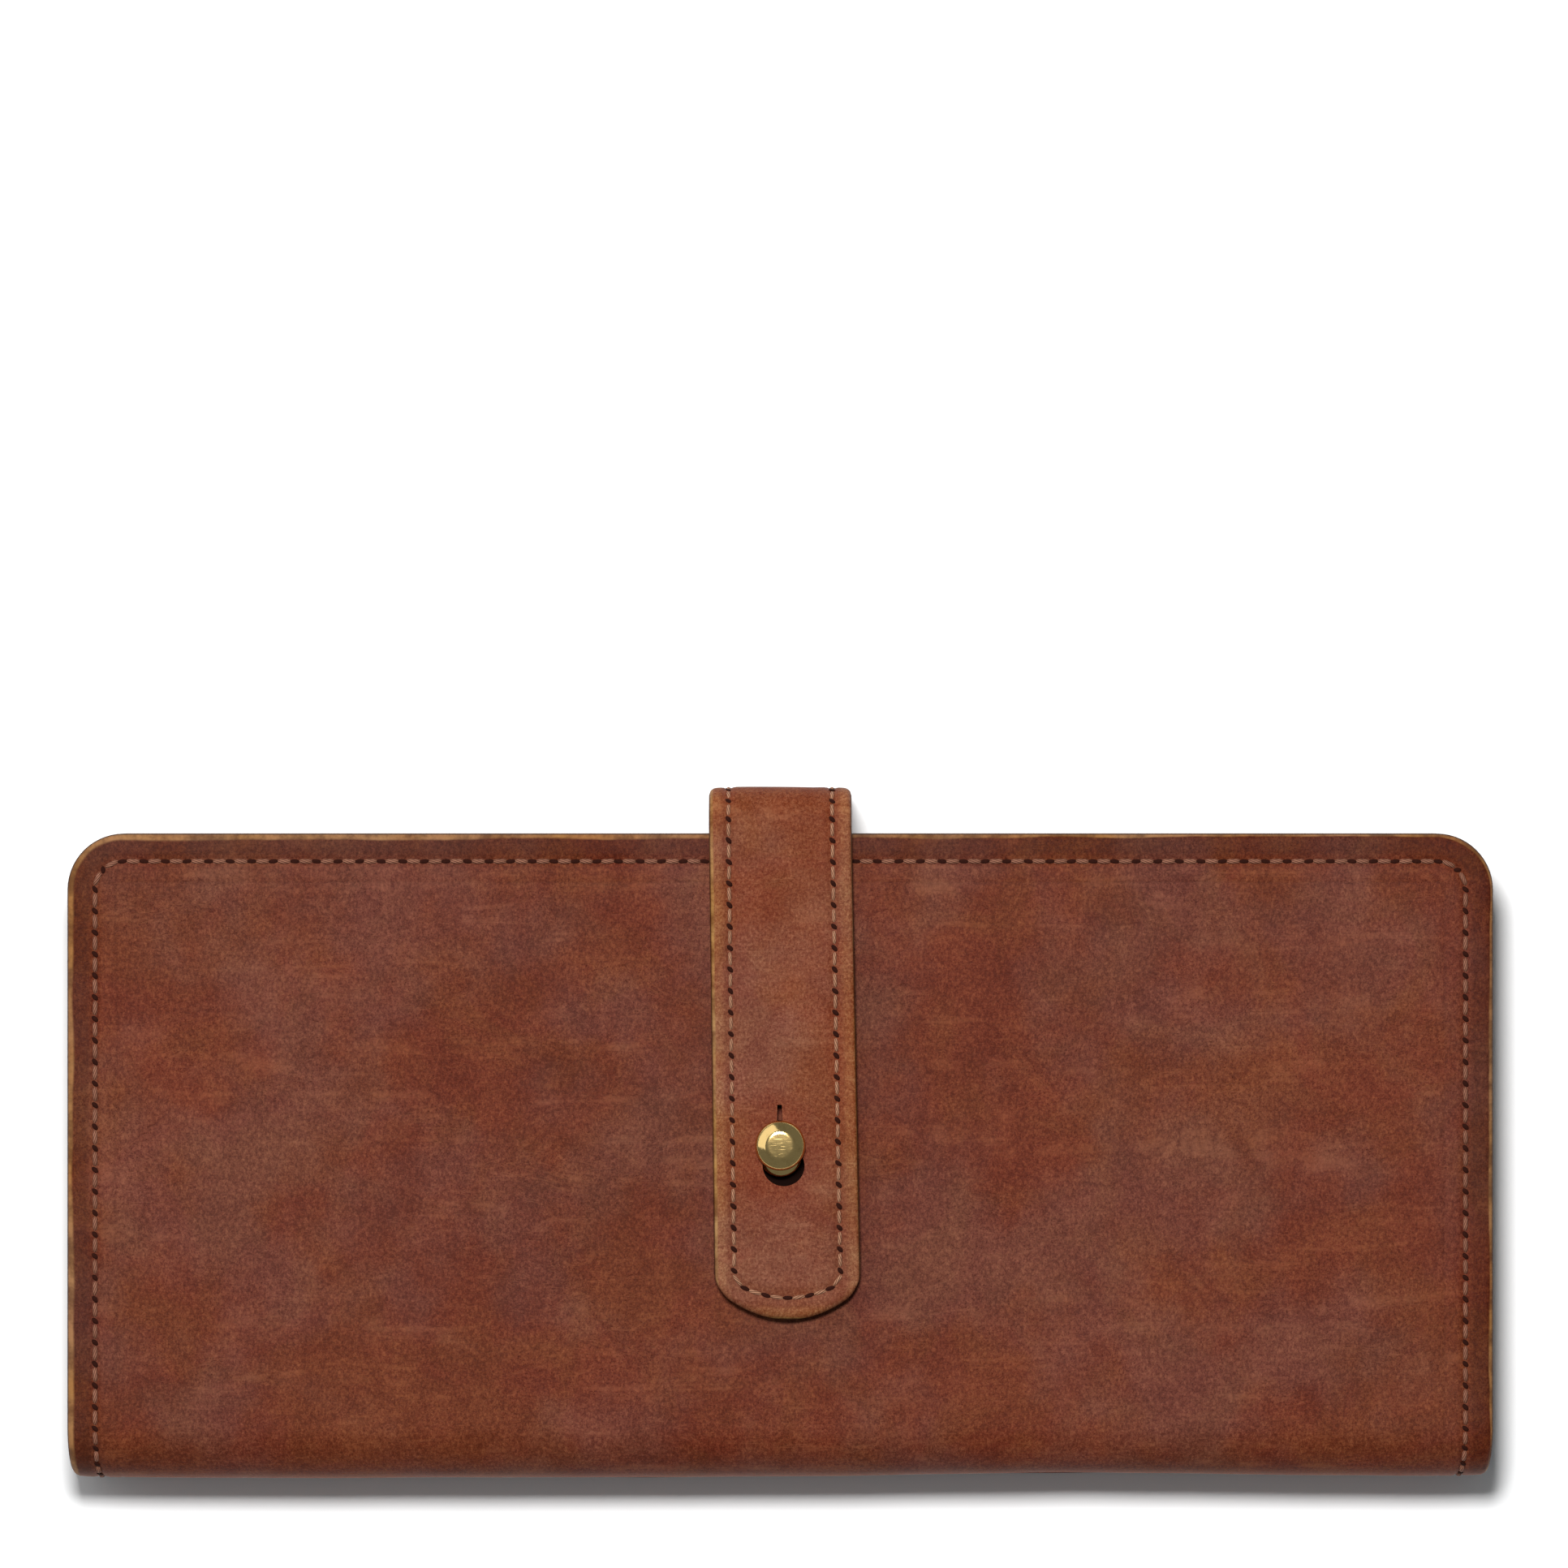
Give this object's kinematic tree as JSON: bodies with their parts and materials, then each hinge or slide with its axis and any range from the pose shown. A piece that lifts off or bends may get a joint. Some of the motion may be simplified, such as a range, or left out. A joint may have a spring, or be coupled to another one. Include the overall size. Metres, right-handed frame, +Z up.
{
  "type": "long wallet",
  "caption": "Long leather wallet that opens like a book, with a strap over its open edge that buttons on a stud, card slots and a zipped coin pocket.",
  "frame": {"origin": "middle of the outline, on the resting face of the back panel", "axes": "+X along the fold, +Y from the fold towards the open edge and strap, +Z up through the closed wallet"},
  "size_m": [0.19, 0.0922, 0.0233],
  "materials": {
    "cover_leather": "pull-up grain leather, reddish brown",
    "strap_leather": "waxed leather, worn lighter",
    "inner_leather": "thin smooth leather",
    "board": "bonded leather board",
    "lining_cloth": "woven cotton twill",
    "thread": "waxed thread",
    "zip_tape": "woven tape",
    "zip_metal": "antique brass",
    "stud_brass": "polished brass"
  },
  "bodies": {
    "back": {"back_panel": "cover_leather", "back_stiffener": "board", "back_lining": "lining_cloth", "back_bill_wall": "inner_leather", "coin_bag": "lining_cloth", "coin_gusset": "inner_leather", "coin_panel_lower": "inner_leather", "coin_panel_upper": "inner_leather", "zip_tape_lower": "zip_tape", "zip_tape_upper": "zip_tape", "zip_teeth_lower": "zip_metal", "zip_teeth_upper": "zip_metal", "zip_stops": "zip_metal", "back_stitching": "thread", "strap_root": "strap_leather"},
    "spine": {"spine_panel": "cover_leather", "spine_lining": "lining_cloth"},
    "front": {"front_panel": "cover_leather", "front_stiffener": "board", "front_lining": "lining_cloth", "front_bill_wall": "inner_leather", "card_slot_1": "inner_leather", "card_slot_2": "inner_leather", "card_slot_3": "inner_leather", "card_slot_4": "inner_leather", "card_stitching": "thread", "front_stitching": "thread", "stud_head": "stud_brass", "stud_washer": "stud_brass", "stud_screw": "stud_brass"},
    "strap_riser": {"strap_riser_outer": "strap_leather", "strap_riser_lining": "strap_leather"},
    "strap_tab": {"strap_tab_outer": "strap_leather", "strap_tab_lining": "strap_leather", "strap_stitching": "thread"},
    "zip_slider": {"zip_slider": "zip_metal"},
    "zip_pull": {"zip_pull": "zip_metal"}
  },
  "joints": [
    {"name": "cover_fold", "type": "hinge", "parent": "back", "child": "spine", "pos_m": [0, -0.0461, 0], "axis": [1, 0, 0], "range_deg": [0, 90]},
    {"name": "front_fold", "type": "hinge", "parent": "spine", "child": "front", "pos_m": [0, -0.0461, 0.018], "axis": [1, 0, 0], "range_deg": [0, 83]},
    {"name": "strap_lift", "type": "hinge", "parent": "back", "child": "strap_riser", "pos_m": [0, 0.0461, 0.0018], "axis": [-1, 0, 0], "range_deg": [0, 90], "deforming": ["strap_riser_outer", "strap_riser_lining", "strap_tab_outer", "strap_tab_lining", "strap_stitching"]},
    {"name": "strap_tab_bend", "type": "hinge", "parent": "strap_riser", "child": "strap_tab", "pos_m": [0, 0.0461, 0.0209], "axis": [-1, 0, 0], "range_deg": [0, 90]},
    {"name": "zip_slide", "type": "slide", "parent": "back", "child": "zip_slider", "axis": [-1, 0, 0], "range_m": [0, 0.131]},
    {"name": "zip_pull_swing", "type": "hinge", "parent": "zip_slider", "child": "zip_pull", "pos_m": [0.0643, 0.0199, 0.0085], "axis": [0, 0, 1], "range_deg": [-25, 25]}
  ],
  "couplings": [
    {"joint": "front_fold", "follows": "cover_fold", "ratio": 0.92},
    {"joint": "strap_tab_bend", "follows": "strap_lift", "ratio": 1}
  ]
}
